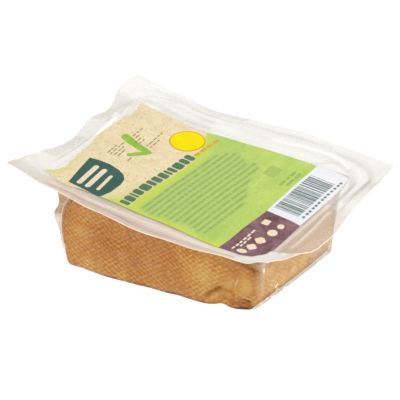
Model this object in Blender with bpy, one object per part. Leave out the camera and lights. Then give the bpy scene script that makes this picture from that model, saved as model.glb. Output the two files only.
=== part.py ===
"""Smoked tofu in its sealed retail pack: a clear pocket full of tofu under a lid film with a wide curled flange.

X runs along the pack, Y across it from front to back, and Z is up. The pocket stands on z = 0.
"""

import math

import bmesh
import bpy

MM = 0.001

# The flange is the rectangle where lid film and base film are sealed together.
FLANGE_LENGTH = 138 * MM
FLANGE_WIDTH = 105 * MM
FLANGE_CORNER = 3 * MM
CORNER_SEGMENTS = 4
SHEET_THICKNESS = 0.8 * MM
SHEET_COLUMNS = 36
SHEET_ROWS = 28

# The block was cut and pressed to a wedge, so the lid over it lies in a tilted plane.
LID_HEIGHT = 37.3 * MM
LID_RISE_ALONG = -0.105
LID_RISE_ACROSS = 0.135

# How far each edge of the flange curls off the lid's plane, at even steps from one corner to the next.
FRONT_CURL = (11.0, 7.0, 4.1, 2.5, 3.6, 6.2, 11.0)
BACK_CURL = (3.0, 0.2, -1.8, 0.9, 3.2, 3.2, 3.0)
LEFT_CURL = (11.0, 8.0, 4.6, 0.3, -2.2, 0.5, -2.5, 3.6, 3.6)
RIGHT_CURL = (11.0, 5.5, 0.0, -1.8, 1.2, 2.2, 3.0)
CURL_REACH = 22 * MM

# The front right corner is creased under, so that the flange stops short of its full length and width there.
TUCK_LENGTH = 5.5 * MM
TUCK_WIDTH = 2.5 * MM
TUCK_REACH = 16 * MM

# The block's foot, corner by corner: it was cut by hand, a little out of square.
FOOT_LEFT = -45 * MM
FOOT_RIGHT = 48 * MM
FRONT_AT_LEFT = -41.5 * MM
FRONT_AT_RIGHT = -38 * MM
BACK_AT_LEFT = 30.5 * MM
BACK_AT_RIGHT = 29.5 * MM

# The pocket's walls lean out from the foot to the flange, and swell on the way.
LEAN_ENDS = 3.5 * MM
LEAN_FRONT = -0.5 * MM
LEAN_BACK = 6 * MM
SWELL_ENDS = 3 * MM
SWELL_SIDES = 0.8 * MM
POCKET_STEPS = 5
EDGE_ROUND = 3.5 * MM
EDGE_SEGMENTS = 3
EDGE_ANGLE = math.radians(55)

# Pieces that touch keep this much between their meshes.
GAP = 0.4 * MM


def clear_scene():
    for thing in list(bpy.data.objects):
        bpy.data.objects.remove(thing)


def plain_material(name, colour, roughness, alpha=1.0):
    material = bpy.data.materials.new(name)
    material.use_nodes = True
    shader = material.node_tree.nodes["Principled BSDF"]
    shader.inputs["Base Color"].default_value = (*colour, 1.0)
    shader.inputs["Roughness"].default_value = roughness
    shader.inputs["Metallic"].default_value = 0.0
    shader.inputs["Alpha"].default_value = alpha
    return material


def smooth_step(share):
    """0 to 1 with a level start and end."""
    share = min(max(share, 0.0), 1.0)
    return share * share * (3 - 2 * share)


def curl_between(stations, share):
    """The curl, in metres, at this share of the way along an edge, read smoothly from its stations."""
    spot = min(max(share, 0.0), 1.0) * (len(stations) - 1)
    before = min(int(spot), len(stations) - 2)
    a, b = stations[before], stations[before + 1]
    return (a + (b - a) * smooth_step(spot - before)) * MM


def edge_pull(distance):
    """How much of an edge's curl reaches a point this far in from it: all at the edge, none past CURL_REACH."""
    return max(1 - distance / CURL_REACH, 0.0) ** 2


def lid_plane(x, y):
    """Height over the floor of the flat lid that spans the pocket."""
    return LID_HEIGHT + LID_RISE_ALONG * x + LID_RISE_ACROSS * y


def lid_height(x, y):
    """Height over the floor of the lid film's underside: the lid's plane, with the curl of the flange."""
    along = x / FLANGE_LENGTH + 0.5
    across = y / FLANGE_WIDTH + 0.5
    front = edge_pull(across * FLANGE_WIDTH)
    back = edge_pull((1 - across) * FLANGE_WIDTH)
    left = edge_pull(along * FLANGE_LENGTH)
    right = edge_pull((1 - along) * FLANGE_LENGTH)
    curl = front * curl_between(FRONT_CURL, along) + back * curl_between(BACK_CURL, along)
    curl += left * curl_between(LEFT_CURL, across) + right * curl_between(RIGHT_CURL, across)
    # Each corner was counted once from both of its edges.
    curl -= front * (left * LEFT_CURL[0] + right * RIGHT_CURL[0]) * MM
    curl -= back * (left * LEFT_CURL[-1] + right * RIGHT_CURL[-1]) * MM
    return lid_plane(x, y) + curl


def tucked(x, y):
    """A point of the flat flange after its front right corner is creased under."""
    near_end = smooth_step(1 - (FLANGE_LENGTH / 2 - x) / TUCK_REACH)
    near_front = smooth_step(1 - (FLANGE_WIDTH / 2 + y) / TUCK_REACH)
    share = near_end * near_front
    return x - TUCK_LENGTH * share, y + TUCK_WIDTH * share


def pocket_point(u, v, w):
    """A point of the pocket from its place in a cube of side 2: u along, v across, w up."""
    along, across, up = (u + 1) / 2, (v + 1) / 2, (w + 1) / 2
    swell = 1 - w * w
    x = FOOT_LEFT + (FOOT_RIGHT - FOOT_LEFT) * along
    x += u * (LEAN_ENDS * up + SWELL_ENDS * swell * (1 - 0.5 * v * v))
    front = FRONT_AT_LEFT + (FRONT_AT_RIGHT - FRONT_AT_LEFT) * along
    back = BACK_AT_LEFT + (BACK_AT_RIGHT - BACK_AT_LEFT) * along
    y = front + (back - front) * across
    lean = LEAN_BACK if v > 0 else LEAN_FRONT
    y += v * (lean * up + SWELL_SIDES * swell * (1 - u * u))
    return x, y, up * (lid_plane(x, y) - GAP)


def build_pocket():
    """The clear pocket with the block in it, as one solid: its wedge height follows the lid."""
    bm = bmesh.new()
    bmesh.ops.create_cube(bm, size=2)
    bmesh.ops.subdivide_edges(bm, edges=bm.edges[:], cuts=POCKET_STEPS, use_grid_fill=True)
    for vertex in bm.verts:
        vertex.co = pocket_point(*vertex.co)
    mesh = bpy.data.meshes.new("tofu_pocket")
    bm.to_mesh(mesh)
    bm.free()
    mesh.shade_smooth()
    pocket = bpy.data.objects.new("tofu_pocket", mesh)
    bpy.context.collection.objects.link(pocket)
    rounding = pocket.modifiers.new("rounded_edges", "BEVEL")
    rounding.limit_method = "ANGLE"
    rounding.angle_limit = EDGE_ANGLE
    rounding.width = EDGE_ROUND
    rounding.segments = EDGE_SEGMENTS
    pocket.data.materials.append(plain_material("smoked_tofu", (0.52, 0.24, 0.06), 0.5))
    return pocket


def build_lid():
    """The lid film and the flange round it: one thin sheet whose edges curl."""
    bm = bmesh.new()
    bmesh.ops.create_grid(bm, x_segments=SHEET_COLUMNS, y_segments=SHEET_ROWS, size=1)
    bmesh.ops.scale(bm, vec=(FLANGE_LENGTH / 2, FLANGE_WIDTH / 2, 1), verts=bm.verts[:])
    corners = [vertex for vertex in bm.verts if len(vertex.link_edges) == 2]
    bmesh.ops.bevel(
        bm,
        geom=corners,
        offset=FLANGE_CORNER,
        affect="VERTICES",
        segments=CORNER_SEGMENTS,
        profile=0.5,
        material=-1,
    )
    for vertex in bm.verts:
        x, y = tucked(vertex.co.x, vertex.co.y)
        vertex.co = (x, y, lid_height(vertex.co.x, vertex.co.y))
    mesh = bpy.data.meshes.new("lid_film")
    bm.to_mesh(mesh)
    bm.free()
    mesh.shade_smooth()
    lid = bpy.data.objects.new("lid_film", mesh)
    bpy.context.collection.objects.link(lid)
    thickness = lid.modifiers.new("thickness", "SOLIDIFY")
    thickness.thickness = SHEET_THICKNESS
    thickness.offset = 1.0
    lid.data.materials.append(plain_material("lid_film", (0.45, 0.66, 0.20), 0.3))
    return lid


clear_scene()
build_pocket()
build_lid()
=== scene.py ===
# %% [markdown]
# # A block of smoked tofu in its sealed pack
# A pressed block of smoked tofu lies in a clear pocket drawn from thin film. A second film is sealed over the pocket as
# a lid, and both films run on past the seal as a wide flange whose edges curl. The label is printed on the lid.
# This lesson builds what can be seen of it: the block with its pressed-cloth skin, the pocket, the lid and the print.
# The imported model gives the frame: its box says how large everything is, and its two solids are replaced here.

# %% Load the frame
import math
import random

import bmesh
import bpy
from mathutils import Matrix, Vector, noise


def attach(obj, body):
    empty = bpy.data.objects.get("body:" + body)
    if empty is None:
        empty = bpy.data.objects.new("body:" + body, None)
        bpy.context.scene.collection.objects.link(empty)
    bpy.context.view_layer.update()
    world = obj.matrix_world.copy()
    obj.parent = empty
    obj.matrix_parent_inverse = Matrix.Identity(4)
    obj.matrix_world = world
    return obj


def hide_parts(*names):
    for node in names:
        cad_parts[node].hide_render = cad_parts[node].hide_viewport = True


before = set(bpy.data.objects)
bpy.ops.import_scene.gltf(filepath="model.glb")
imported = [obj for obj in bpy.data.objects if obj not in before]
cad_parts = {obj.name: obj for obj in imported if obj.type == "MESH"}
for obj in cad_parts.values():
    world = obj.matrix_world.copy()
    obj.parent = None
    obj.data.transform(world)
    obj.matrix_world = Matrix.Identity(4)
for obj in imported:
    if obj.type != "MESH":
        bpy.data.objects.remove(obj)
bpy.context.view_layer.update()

print("solids in the frame:", sorted(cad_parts))

# %% [markdown]
# ## Small tools
# Every piece is shaped in millimetres, because that is how such a pack is measured, and scaled to metres when it is
# done. A profile is a short list of stations, read smoothly in between, as a boat builder lofts a hull. Most shapes and
# tones below are sums of a few soft forms: a rise, a fall, a round hill, or a ridge along a line.

# %% Small tools for shaping
MM = 0.001


def smooth_step(share):
    """0 to 1 with a level start and end."""
    share = min(max(share, 0.0), 1.0)
    return share * share * (3 - 2 * share)


def rise(value, start, width):
    """0 up to the start, and 1 from this far past it."""
    return smooth_step((value - start) / width)


def fall(value, end, width):
    """1 until this far before the end, and 0 past it."""
    return smooth_step((end - value) / width)


def blend(a, b, share):
    return a + (b - a) * share


def profile(stations, at):
    """Read a list of (place, value) pairs smoothly at any place."""
    if at <= stations[0][0]:
        return stations[0][1]
    for (before, a), (after, b) in zip(stations, stations[1:]):
        if at <= after:
            share = (at - before) / (after - before)
            return blend(a, b, 0.5 * share + 0.5 * smooth_step(share))
    return stations[-1][1]


def bump_at(distance, width):
    """A round hill: 1 at its middle and almost nothing past twice its width."""
    return math.exp(-((distance / width) ** 2))


def near_spot(x, y, spot, width):
    """A round hill on a spot of a surface."""
    return bump_at(math.hypot(x - spot[0], y - spot[1]), width)


def wander(x, y, z, size, seed):
    """A smooth random value from about -1 to 1 that changes over this many millimetres."""
    return noise.noise(Vector((x / size + seed, y / size - 2 * seed, z / size + 3 * seed)))


def distance_to_path(x, y, path):
    """How far a point lies from a line through several points, and on which side."""
    best, side = math.inf, 1.0
    for (ax, ay), (bx, by) in zip(path, path[1:]):
        length = (bx - ax) ** 2 + (by - ay) ** 2
        share = min(max(((x - ax) * (bx - ax) + (y - ay) * (by - ay)) / length, 0.0), 1.0)
        gap = math.hypot(x - blend(ax, bx, share), y - blend(ay, by, share))
        if gap < best:
            best = gap
            side = 1.0 if (bx - ax) * (y - ay) - (by - ay) * (x - ax) > 0 else -1.0
    return best, side


def near_path(x, y, path, width):
    """A ridge along a line through several points."""
    return bump_at(distance_to_path(x, y, path)[0], width)


# %% Turning a bmesh into a piece
def make_piece(name, bm, *materials, paint=None):
    """Scale a finished bmesh from millimetres to metres and put it in the scene, with its painted values.

    Each painted value is a number, or a recipe that takes a place in millimetres."""
    bmesh.ops.recalc_face_normals(bm, faces=bm.faces[:])
    painted_values = {}
    for attribute, recipe in (paint or {}).items():
        painted_values[attribute] = [recipe(*v.co) if callable(recipe) else recipe for v in bm.verts]
    bmesh.ops.scale(bm, vec=(MM, MM, MM), verts=bm.verts[:])
    mesh = bpy.data.meshes.new(name)
    bm.to_mesh(mesh)
    bm.free()
    for attribute, values in painted_values.items():
        mesh.attributes.new(attribute, "FLOAT", "POINT").data.foreach_set("value", values)
    for material in materials:
        mesh.materials.append(material)
    mesh.shade_smooth()
    piece = bpy.data.objects.new(name, mesh)
    bpy.context.scene.collection.objects.link(piece)
    print(f"{name}: {len(mesh.polygons)} faces")
    return piece


# %% [markdown]
# ## The lid's surface
# The block was cut to a wedge, so the lid over it lies in a tilted plane, and the flange round it curls up at the
# corners. Film and print both have to follow that surface, so it is written once, as a height over the floor for
# each place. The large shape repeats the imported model's. The small relief is new: the step where the pocket's mouth
# was formed, and the slack waves of a film that is only held at its seal.

# %% The flange and its curl
FLANGE_LENGTH, FLANGE_WIDTH = 138.0, 105.0
HALF_LENGTH, HALF_WIDTH = FLANGE_LENGTH / 2, FLANGE_WIDTH / 2
LID_HEIGHT, LID_RISE_ALONG, LID_RISE_ACROSS = 37.3, -0.105, 0.135
# how far each edge curls off the lid's plane, at even steps from one corner to the next
FRONT_CURL = (11.0, 7.0, 4.1, 2.5, 3.6, 6.2, 11.0)
BACK_CURL = (3.0, 0.2, -1.8, 0.9, 3.2, 3.2, 3.0)
LEFT_CURL = (11.0, 8.0, 4.6, 0.3, -2.2, 0.5, -2.5, 3.6, 3.6)
RIGHT_CURL = (11.0, 5.5, 0.0, -1.8, 1.2, 2.2, 3.0)
CURL_REACH = 22.0
TUCK_LENGTH, TUCK_WIDTH, TUCK_REACH = 5.5, 2.5, 16.0


def curl_between(stations, share):
    """The curl at this share of the way along an edge."""
    spot = min(max(share, 0.0), 1.0) * (len(stations) - 1)
    before = min(int(spot), len(stations) - 2)
    return blend(stations[before], stations[before + 1], smooth_step(spot - before))


def edge_pull(distance):
    """How much of an edge's curl reaches a place this far in from it."""
    return max(1 - distance / CURL_REACH, 0.0) ** 2


def lid_plane(x, y):
    """Height of the flat lid that spans the pocket."""
    return LID_HEIGHT + LID_RISE_ALONG * x + LID_RISE_ACROSS * y


def lid_height(x, y):
    """Height of the lid film's underside over the floor, curl and all."""
    along, across = x / FLANGE_LENGTH + 0.5, y / FLANGE_WIDTH + 0.5
    front, back = edge_pull(across * FLANGE_WIDTH), edge_pull((1 - across) * FLANGE_WIDTH)
    left, right = edge_pull(along * FLANGE_LENGTH), edge_pull((1 - along) * FLANGE_LENGTH)
    curl = front * curl_between(FRONT_CURL, along) + back * curl_between(BACK_CURL, along)
    curl += left * curl_between(LEFT_CURL, across) + right * curl_between(RIGHT_CURL, across)
    # each corner was counted once from both of its edges
    curl -= front * (left * LEFT_CURL[0] + right * RIGHT_CURL[0])
    curl -= back * (left * LEFT_CURL[-1] + right * RIGHT_CURL[-1])
    return lid_plane(x, y) + curl


def tucked(x, y):
    """A place on the flat flange after its front right corner is creased under."""
    share = smooth_step(1 - (HALF_LENGTH - x) / TUCK_REACH)
    share *= smooth_step(1 - (HALF_WIDTH + y) / TUCK_REACH)
    return x - TUCK_LENGTH * share, y + TUCK_WIDTH * share


# %% The formed rim and the slack waves
# left, right, front and back of each rim's outline, and its corner radius
INNER_RIM = (-59.5, 59.3, -42.0, 45.0, 15.0)
OUTER_RIM = (-62.5, 63.6, -45.0, 48.0, 10.0)
BORDER_RISE, OUTER_STEP, INNER_STEP, INNER_BEAD = 0.3, 0.35, 0.45, 0.35


def rim_distance(x, y, rim):
    """How far outside a rectangle with round corners a place is: less than 0 within it."""
    left, right, front, back, corner = rim
    over_x = abs(x - (left + right) / 2) - (right - left) / 2 + corner
    over_y = abs(y - (front + back) / 2) - (back - front) / 2 + corner
    return math.hypot(max(over_x, 0), max(over_y, 0)) + min(max(over_x, over_y), 0) - corner


# (place along the edge, how much the edge is raised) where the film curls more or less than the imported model's
LEFT_TRIM = (
    (-36, -0.2), (-28, -0.1), (-22, -0.9), (-16, -0.8), (-9, -1.9), (-2, -1.2), (4, -0.8), (14, -0.9), (24, -0.5),
    (28, -1.2), (32, -2.3), (36, -0.3), (48, 0.2),
)
RIGHT_TRIM = (
    (-26, 0), (-16, -0.7), (-8, -0.5), (-3, 0), (4, 1.8), (10, 1.0), (16, 0.2), (24, 0.4), (34, 1.1), (44, 0.4),
    (52, 0.3),
)
BACK_TRIM = (
    (-68, -0.6), (-44, -0.4), (-28, -0.6), (-20, 0), (-4, -0.3), (20, -0.3), (52, -0.4), (60, 0.3), (69, 0.8),
)
# the curled front right corner: the crease across it, the dip along its edge and its raised side
CORNER_FOLD = ((52.0, -32.0), (57.9, -28.8), (62.1, -25.8), (66.2, -23.0), (70.0, -18.0))
CORNER_DIP = ((57.0, -55.0), (63.5, -54.0), (70.5, -48.5))
CORNER_TIP = (70, -38)


def sheet_relief(x, y):
    """How far the sheet stands off its large shape at a place, for all its smaller forms."""
    inner, outer = rim_distance(x, y, INNER_RIM), rim_distance(x, y, OUTER_RIM)
    relief = BORDER_RISE - OUTER_STEP * fall(outer, 0.9, 1.8) - INNER_STEP * fall(inner, 1.0, 2.0)
    relief += INNER_BEAD * bump_at(inner - 0.6, 0.9)
    relief += 0.16 * wander(x, y, 0, 14, 3.1) + 0.05 * wander(x, y, 0, 5, 7.7) * fall(inner, 0, 4)
    if x > 48 and y < -12:
        relief += 0.5 * near_path(x, y, CORNER_FOLD, 1.2)
        relief += 1.7 * near_spot(x, y, CORNER_TIP, 5) - 1.1 * near_path(x, y, CORNER_DIP, 6)
    relief += profile(LEFT_TRIM, y) * edge_pull(x + HALF_LENGTH)
    relief += profile(RIGHT_TRIM, y) * edge_pull(HALF_LENGTH - x)
    relief += profile(BACK_TRIM, x) * edge_pull(HALF_WIDTH - y)
    # the back right edge and the front of the left edge droop
    relief -= 1.3 * bump_at(HALF_LENGTH - x, 12) * rise(y, 20, 16)
    return relief - bump_at(x + HALF_LENGTH, 9) * bump_at(y + 30, 13)


def sheet_point(x, y, lift):
    """The place in space of a place on the flat sheet, this far above the lid film's underside."""
    across_x, across_y = tucked(x, y)
    return Vector((across_x, across_y, lid_height(x, y) + sheet_relief(x, y) + lift))


def untucked(x, y):
    """The place on the flat sheet of a place on the creased one, found in three closer and closer guesses."""
    flat_x, flat_y = x, y
    for _ in range(3):
        tucked_x, tucked_y = tucked(flat_x, flat_y)
        flat_x, flat_y = flat_x + x - tucked_x, flat_y + y - tucked_y
    return flat_x, flat_y


def lay_on_sheet(bm, lift):
    """Lift a flat drawing onto the lid, this far above the lid film's underside."""
    for vertex in bm.verts:
        vertex.co = sheet_point(vertex.co.x, vertex.co.y, lift)


print("lid height at its middle:", round(lid_height(0, 0), 1), "mm")

# %% [markdown]
# ## Node helpers
# A procedural finish is a small network of nodes. These helpers add one node and join its sockets in one call. A socket
# knows the tree it belongs to, so sums and mixes of sockets need not be told where to go.

# %% Node helpers
MIX_A, MIX_B, MIX_RESULT = 6, 7, 2


def node(tree, kind, inputs=None, **settings):
    """Add a node with these settings, and link or fill each input that is given."""
    made = tree.nodes.new("ShaderNode" + kind)
    for key, value in settings.items():
        setattr(made, key, value)
    for key, value in (inputs or {}).items():
        if isinstance(value, bpy.types.NodeSocket):
            tree.links.new(value, made.inputs[key])
        else:
            made.inputs[key].default_value = value
    return made


def new_material(name):
    """A material, its empty node tree, and the place of a point on its object."""
    material = bpy.data.materials.new(name)
    material.use_nodes = True
    tree = material.node_tree
    tree.nodes.clear()
    return material, tree, node(tree, "TexCoord").outputs["Object"]


def maths(operation, a, b=0.0, clamp=False):
    """One Math node, in the tree of the first of its two values that is a socket."""
    tree = (a if isinstance(a, bpy.types.NodeSocket) else b).id_data
    return node(tree, "Math", {0: a, 1: b}, operation=operation, use_clamp=clamp).outputs[0]


def add(a, b, clamp=False):
    return maths("ADD", a, b, clamp)


def minus(a, b):
    return maths("SUBTRACT", a, b)


def times(a, b, clamp=False):
    return maths("MULTIPLY", a, b, clamp)


def swing(value, much):
    """A noise from 0 to 1 as a change both ways from nothing."""
    return times(minus(value, 0.5), much)


def painted(tree, name):
    """A value that was painted on the mesh."""
    return node(tree, "Attribute", attribute_name=name).outputs["Fac"]


def colour(red, green, blue):
    """A screen colour from 0 to 255 as the linear colour that a shader takes."""
    return tuple(((c / 255 + 0.055) / 1.055) ** 2.4 if c > 10 else c / 255 / 12.92 for c in (red, green, blue)) + (1.0,)


def mix_colour(factor, a, b):
    mixed = node(factor.id_data, "Mix", {0: factor, MIX_A: a, MIX_B: b}, data_type="RGBA")
    return mixed.outputs[MIX_RESULT]


def clouds(vector, size, detail=2.0, roughness=0.5, stretch=(1, 1, 1)):
    """Noise whose blotches are about this many millimetres across, in a piece measured in metres."""
    tree = vector.id_data
    scaled = node(tree, "Mapping", {"Vector": vector, "Scale": tuple(s / (size * MM) for s in stretch)})
    inputs = {"Vector": scaled.outputs[0], "Scale": 1.0, "Detail": detail, "Roughness": roughness}
    return node(tree, "TexNoise", inputs).outputs["Fac"]


def levels(value, low, high, to_low=0.0, to_high=1.0):
    """Stretch the values between low and high over another range, and cut off the rest."""
    inputs = {"Value": value, "From Min": low, "From Max": high, "To Min": to_low, "To Max": to_high}
    return node(value.id_data, "MapRange", inputs).outputs["Result"]


def over_clear(amount, shader):
    """Lay a shader over a clear one: with an amount of 0 only the clear one is left."""
    tree = shader.id_data
    clear = node(tree, "BsdfTransparent", {"Color": (1, 1, 1, 1)}).outputs[0]
    return node(tree, "MixShader", {0: amount, 1: clear, 2: shader}).outputs[0]


# %% [markdown]
# ## The tofu's skin
# Tofu is pressed in a cloth and then smoked, so its skin is tan to orange-brown, darker where the smoke settled, and
# carries the print of the weave as rows of dimples two millimetres apart that cross slantwise. The dimples could be cut
# into the mesh, but a million faces would go into something finer than a grain of sand. So they are a bump, made from
# two crossing waves on the skin's own flat map, and the larger tones come from values painted on the mesh.
# These painted values also carry painted shade: darker creases, a darker band along the top under the lid, a dark foot
# line.

# %% The tofu's skin
THREADS_ALONG, THREADS_UP = 0.3, 0.44  # threads in a millimetre
SKIN_PALE, SKIN_DARK = (226, 188, 112), (112, 60, 28)
SKIN_BETWEEN = ((0.3, (212, 158, 80)), (0.55, (194, 126, 50)), (0.8, (172, 100, 36)))


def tofu_skin():
    """Painted on the mesh: the smoke's tone with painted shade, pale to dark, and smooth_patch is where the weave was
    pressed flat.
    """
    material, tree, place = new_material("smoked_tofu_skin")
    # the threads, drawn a little out of line
    cloth = node(tree, "UVMap", uv_map="cloth").outputs["UV"]
    slack = node(tree, "Mapping", {"Vector": cloth, "Scale": (0.12, 0.12, 1)}).outputs[0]
    slack = node(tree, "TexNoise", {"Vector": slack, "Scale": 1.0, "Detail": 1.0}).outputs["Color"]
    pulled = node(tree, "VectorMath", {0: slack, "Scale": 2.2}, operation="SCALE").outputs[0]
    threads = node(tree, "VectorMath", {0: cloth, 1: pulled}, operation="ADD").outputs[0]
    parts = node(tree, "SeparateXYZ", {"Vector": threads}).outputs
    along, up = times(parts["X"], THREADS_ALONG * math.tau), times(parts["Y"], THREADS_UP * math.tau)
    warp, weft = maths("SINE", add(along, up)), maths("SINE", minus(along, up))
    tension = levels(clouds(place, 10, detail=1), 0.38, 0.62, 0.4, 0.6)
    both = add(times(warp, tension), times(weft, minus(1.0, tension)))
    both = add(both, swing(clouds(place, 1.5, detail=3, roughness=0.65), 4.2))
    woven = times(minus(levels(both, -0.7, 1.1), 0.35), minus(1.0, painted(tree, "smooth_patch")))
    woven = times(woven, levels(clouds(place, 6, detail=2), 0.3, 0.7, 0.5, 1.0))
    # the smoke's tones and painted shade: large ones are painted on the mesh, blotches and grain are added to them
    grain = clouds(place, 0.9, detail=3)
    shade = add(painted(tree, "smoke_and_shade"), swing(clouds(place, 8, detail=4, roughness=0.65), 0.55))
    shade = add(minus(shade, times(woven, 0.44)), swing(grain, 0.5))
    ramp = node(tree, "ValToRGB", {"Fac": shade})
    stops = ramp.color_ramp.elements
    stops[0].color, stops[1].color = colour(*SKIN_PALE), colour(*SKIN_DARK)
    for position, tone in SKIN_BETWEEN:
        stops.new(position).color = colour(*tone)
    fleck = levels(clouds(place, 2.6, detail=2), 0.52, 0.72, 0.0, 0.5)
    relief = add(times(woven, 0.9), times(grain, 0.5))
    bump = node(tree, "Bump", {"Height": relief, "Strength": 0.5, "Distance": 0.00025})
    shader = node(
        tree,
        "BsdfPrincipled",
        {
            "Base Color": mix_colour(fleck, ramp.outputs["Color"], colour(198, 160, 88)),
            "Roughness": levels(grain, 0.3, 0.7, 0.42, 0.62),
            "Normal": bump.outputs[0],
            "Specular IOR Level": 0.3,
            "Subsurface Weight": 0.08,
            "Subsurface Radius": (0.0022, 0.001, 0.0005),
            "Subsurface Scale": 1.0,
        },
    )
    node(tree, "OutputMaterial", {"Surface": shader.outputs[0]})
    return material


SKIN = tofu_skin()
print("tones of the skin:", 2 + len(SKIN_BETWEEN))

# %% [markdown]
# ## The block
# A pressed block is never a clean box. This one is a wedge, bulges at its left end, and slopes away at the right end
# where the mould's corner was not filled. It starts as a cube cut into a fine grid. Each point is first drawn onto a
# box with round edges, and then placed between lofted end, side and top profiles. Dents, creases and the pressed
# wrinkles at the front right foot are added along the surface, so that they show from every side.

# %% The block's profiles
# (height, x) up the two ends
LEFT_END = (
    (0, -44.6), (2.4, -46.2), (7.3, -47.6), (12, -49.0), (16.6, -49.7), (23, -49.6), (27, -48.5), (30, -47.5),
    (33, -46.6), (45, -46.0),
)
RIGHT_END = ((0, 47.4), (3, 48.9), (6, 49.7), (9, 50.0), (14, 50.6), (20, 50.9), (28, 50.6), (36, 50.0))
# (y, height) of the right end's upper edge
RIGHT_SHOULDER = ((-37, 19.0), (-20, 19.8), (-3, 21.2), (12, 23.8), (26, 28.6), (36, 30.5))
SHOULDER_SLOPE = 0.55
# the front left top corner is worn round: its height at x = -46.5, y = -41, and how fast that rises away from it
LEFT_SHOULDER, LEFT_SLOPES = 30.0, (0.75, 0.5)
# (x, y) of the front foot
FRONT_FOOT = (
    (-46, -41.3), (-34.8, -42.2), (-26.4, -42.8), (-18.6, -42.5), (-3, -42.0), (12, -41.5), (20, -42.0), (27, -41.6),
    (33.8, -39.9), (41, -38.9), (50, -35.6),
)
BACK_AT_LEFT, BACK_AT_RIGHT = 30.5, 29.5
BACK_LEAN, BACK_SWELL = 6, 1.1
SKIN_GAP = 0.2  # the skin stays this far inside its profiles, clear of the film
HEADROOM = 1.1  # and this far under the lid


def soft_least(a, b, softness):
    """The smaller of two heights, with a round hollow where they cross."""
    share = min(max(0.5 + 0.5 * (b - a) / softness, 0.0), 1.0)
    return blend(b, a, share) - softness * share * (1 - share)


def block_top(x, y):
    """Height of the block's top: the lid, the right end's shoulder or the worn corner, whichever is lowest."""
    shoulder = profile(RIGHT_SHOULDER, y) + SHOULDER_SLOPE * (50 - x)
    worn = LEFT_SHOULDER + LEFT_SLOPES[0] * (x + 46.5) + LEFT_SLOPES[1] * (y + 41)
    return soft_least(soft_least(lid_plane(x, y) - HEADROOM, shoulder, 3.0), worn, 3.0)


def front_face(x, z):
    """The front's y at a place on it: from the foot it swells a little and then leans back."""
    return profile(FRONT_FOOT, x) + 0.035 * z - 0.6 * math.sin(math.pi * min(max(z / 34, 0), 1))


def back_line(x):
    """The y of the back at the foot."""
    return blend(BACK_AT_LEFT, BACK_AT_RIGHT, (x + 46) / 94)


# %% Placing the block's grid
def fine_cube(cuts):
    """A cube of side 2 cut into an even grid, with its own number of cuts along x, y and z."""
    bm = bmesh.new()
    bmesh.ops.create_cube(bm, size=2)
    for axis, count in enumerate(cuts):
        lengthwise = [e for e in bm.edges if abs(e.verts[0].co[axis] - e.verts[1].co[axis]) > 1e-6]
        bmesh.ops.subdivide_edges(bm, edges=lengthwise, cuts=count, use_grid_fill=True)
    return bm


def rounded(place, half, radius, foot_radius):
    """Draw a point of a cube of side 2 onto a box of these half sides with round edges, still on a -1 to 1 scale."""
    full = Vector([place[i] * half[i] for i in range(3)])
    radius = blend(foot_radius, radius, smooth_step((place.z + 1) / 0.7))
    core = Vector([min(max(full[i], radius - half[i]), half[i] - radius) for i in range(3)])
    out = full - core
    if out.length > 1e-9:
        full = core + out.normalized() * radius
    return [full[i] / half[i] for i in range(3)]


def block_point(u, v, w):
    """A point of the block from its place in a cube of side 2."""
    along, across, up = (u + 1) / 2, (v + 1) / 2, (w + 1) / 2
    x = blend(-48, 49, along)
    z = up * block_top(x, blend(front_face(x, 0), back_line(x), across))
    x = blend(profile(LEFT_END, z), profile(RIGHT_END, z) + 0.6 * (1 - v * v), along)
    y = blend(front_face(x, z), back_line(x) + BACK_LEAN * up + BACK_SWELL * (1 - w * w) * (1 - u * u), across)
    foot = SKIN_GAP + 0.3 * rise(x, 39, 9) * rise(y, -36, 9)
    z = foot + up * (block_top(x, y) - foot)
    return Vector((x - u * SKIN_GAP, y - v * SKIN_GAP, z))


# %% The block's creases, dents and tones
FOOT_CREASE = ((35.2, 9.7), (33.1, 8.9), (31.3, 7.7), (29.6, 6.2), (28.3, 4.7), (26.6, 2.6))
FOOT_LIP = ((35.2, 8.2), (32.7, 6.6), (30.2, 4.6), (27.8, 2.6))
FOOT_WRINKLES = (
    ((43.3, 5.5), (45.9, 5.2), (47.2, 4.2)),
    ((39.7, 3.3), (41.8, 3.6), (45.1, 3.6), (46.6, 2.9), (47.9, 2.0)),
    ((43.3, 1.7), (45.0, 1.4), (46.5, 1.3)),
)
RING_CENTRE, RING_RADII, RING_LINE = (37.9, 6.9), (2.5, 2.3), 0.25


def ring_gap(x, z):
    """How far outside the small pressed ring a place of the front is, in shares of its radius."""
    return math.hypot((x - RING_CENTRE[0]) / RING_RADII[0], (z - RING_CENTRE[1]) / RING_RADII[1]) - 1


def front_relief(x, z):
    """How far the front face stands out at a place on it, for its creases and wrinkles."""
    out = -1.3 * near_path(x, z, FOOT_CREASE, 0.8) + 0.8 * near_path(x, z, FOOT_LIP, 1.3)
    for path in FOOT_WRINKLES:
        out -= 0.8 * near_path(x, z, path, 0.7)
    out += 0.3 * bump_at(ring_gap(x, z) + 0.9, 0.8) - 0.4 * bump_at(ring_gap(x, z), RING_LINE)
    return out


def face_share(distance, depth=3.0):
    """1 on a face and 0 this far from it."""
    return smooth_step(1 - abs(distance) / depth)


def block_relief(x, y, z):
    """How far the skin stands off its smooth shape: soft lumps all over, and the front's creases."""
    lumps = 0.35 * wander(x, y, z, 13, 1.3) + 0.16 * wander(x, y, z, 5, 4.2)
    return lumps * (1 - 0.65 * rise(x, 42, 8)) + front_relief(x, z) * face_share(y - front_face(x, z), 4.0)


def foot_lift(x, y):
    """The front foot is pinched up a little right of its crease."""
    return 1.2 * bump_at(x - 35, 3.2) * bump_at(y - front_face(x, 0), 5.0)


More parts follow.
